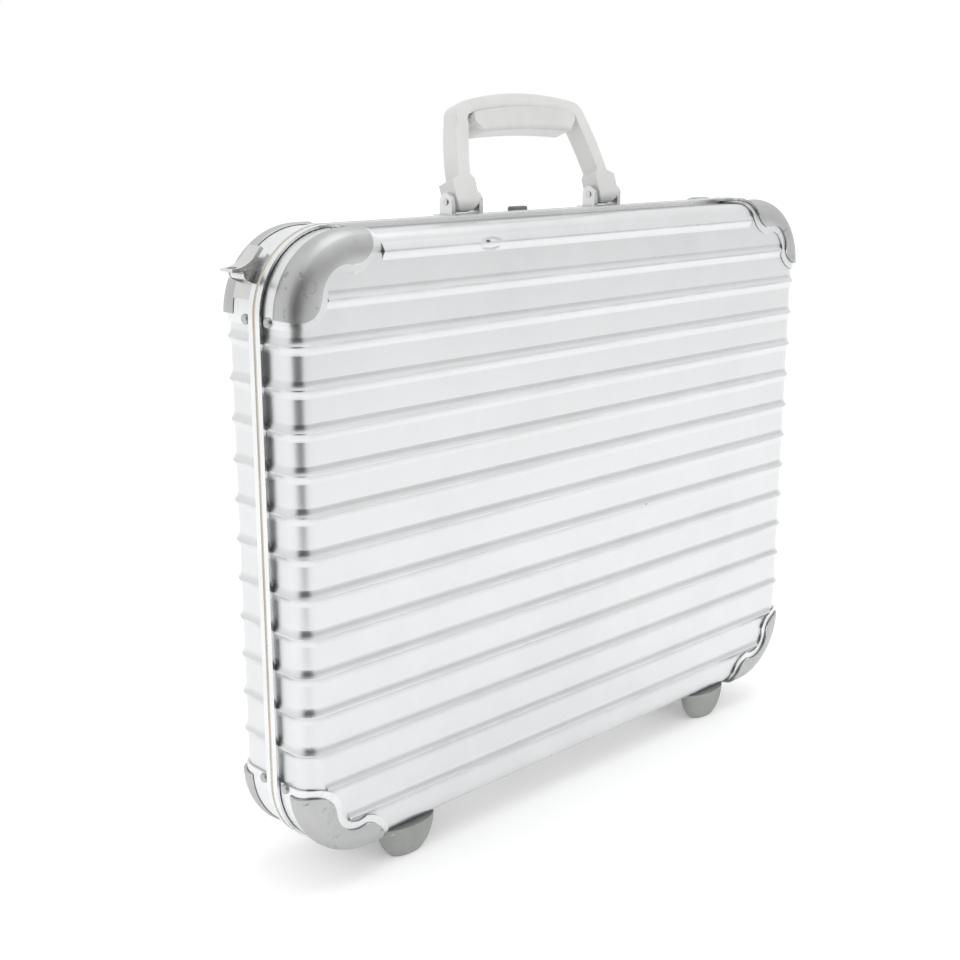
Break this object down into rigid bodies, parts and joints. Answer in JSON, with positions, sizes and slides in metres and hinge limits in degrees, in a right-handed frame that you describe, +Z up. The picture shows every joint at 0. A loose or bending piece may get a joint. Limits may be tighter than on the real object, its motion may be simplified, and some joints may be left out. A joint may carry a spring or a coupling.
{
  "type": "attache case",
  "caption": "Slim ribbed aluminium attache case standing on its feet, with a top handle, corner guards, bottom hinge and lining.",
  "frame": {"origin": "on the floor plane under the middle of the case, in the seam plane between the two halves", "axes": "+X to the right along the width seen from the lid side, +Y from the lid to the base half, +Z up"},
  "size_m": [0.472, 0.0767, 0.4465],
  "materials": {
    "shell": "satin",
    "trim": "satin",
    "cap": "satin",
    "steel": "satin",
    "plastic": "matt",
    "button": "matt",
    "seal": "matt",
    "fabric": "matt"
  },
  "bodies": {
    "case": {"base_shell": "shell", "base_frame": "trim", "base_lining": "fabric", "base_guard_upper_left": "trim", "base_cap_upper_left": "cap", "base_guard_upper_right": "trim", "base_cap_upper_right": "cap", "base_guard_lower_left": "trim", "base_cap_lower_left": "cap", "base_guard_lower_right": "trim", "base_cap_lower_right": "cap", "base_rivets": "steel", "base_foot_left": "plastic", "base_foot_right": "plastic", "base_foot_rivets": "steel", "base_hinge_leaf": "steel", "base_hinge_rivets": "steel", "base_stay_mounts": "steel", "seam_seal": "seal", "hinge_pin": "steel", "handle_plate": "steel", "handle_bracket_left": "steel", "handle_bracket_right": "steel", "handle_pins": "steel", "catch_housing": "steel", "strap_mount_left": "steel", "strap_mount_right": "steel", "strap_pins": "steel"},
    "lid": {"lid_shell": "shell", "lid_frame": "trim", "lid_lining": "fabric", "lid_guard_upper_left": "trim", "lid_guard_upper_right": "trim", "lid_guard_lower_left": "trim", "lid_guard_lower_right": "trim", "lid_cap_upper_left": "cap", "lid_cap_upper_right": "cap", "lid_cap_lower_left": "cap", "lid_cap_lower_right": "cap", "lid_rivets": "steel", "lid_foot_left": "plastic", "lid_foot_right": "plastic", "lid_foot_rivets": "steel", "lid_hinge_leaf": "steel", "lid_hinge_rivets": "steel", "lid_stay_mounts": "steel", "lid_tongues": "steel", "document_pocket": "fabric"},
    "handle": {"handle_arch": "plastic", "handle_grip": "plastic"},
    "catch_slide": {"catch_button": "button", "catch_bar": "steel"},
    "base_stay_left": {"base_stay_left": "steel"},
    "base_stay_right": {"base_stay_right": "steel"},
    "lid_stay_left": {"lid_stay_left": "steel"},
    "lid_stay_right": {"lid_stay_right": "steel"},
    "strap_loop_left": {"strap_loop_left": "steel"},
    "strap_loop_right": {"strap_loop_right": "steel"}
  },
  "joints": [
    {"name": "lid_hinge", "type": "hinge", "parent": "case", "child": "lid", "pos_m": [0, 0, 0.014], "axis": [1, 0, 0], "range_deg": [0, 90]},
    {"name": "handle_hinge", "type": "hinge", "parent": "case", "child": "handle", "pos_m": [0, 0.0175, 0.3832], "axis": [1, 0, 0], "range_deg": [-60, 98]},
    {"name": "catch_slide", "type": "slide", "parent": "case", "child": "catch_slide", "axis": [1, 0, 0], "range_m": [-0.008, 0]},
    {"name": "strap_loop_left_hinge", "type": "hinge", "parent": "case", "child": "strap_loop_left", "pos_m": [-0.227, 0.0128, 0.3525], "axis": [0, -1, 0], "range_deg": [0, 40]},
    {"name": "base_stay_left_hinge", "type": "hinge", "parent": "case", "child": "base_stay_left", "pos_m": [-0.2183, 0.012, 0.08296], "axis": [1, 0, 0], "range_deg": [0, 90]},
    {"name": "lid_stay_left_hinge", "type": "hinge", "parent": "lid", "child": "lid_stay_left", "pos_m": [-0.2162, -0.012, 0.08296], "axis": [1, 0, 0], "range_deg": [-90, 0]},
    {"name": "strap_loop_right_hinge", "type": "hinge", "parent": "case", "child": "strap_loop_right", "pos_m": [0.227, 0.0128, 0.3525], "axis": [0, 1, 0], "range_deg": [0, 40]},
    {"name": "base_stay_right_hinge", "type": "hinge", "parent": "case", "child": "base_stay_right", "pos_m": [0.2183, 0.012, 0.08296], "axis": [1, 0, 0], "range_deg": [0, 90]},
    {"name": "lid_stay_right_hinge", "type": "hinge", "parent": "lid", "child": "lid_stay_right", "pos_m": [0.2162, -0.012, 0.08296], "axis": [1, 0, 0], "range_deg": [-90, 0]}
  ],
  "couplings": [
    {"joint": "base_stay_left_hinge", "follows": "lid_hinge", "ratio": 1},
    {"joint": "lid_stay_left_hinge", "follows": "lid_hinge", "ratio": -1},
    {"joint": "base_stay_right_hinge", "follows": "lid_hinge", "ratio": 1},
    {"joint": "lid_stay_right_hinge", "follows": "lid_hinge", "ratio": -1}
  ]
}
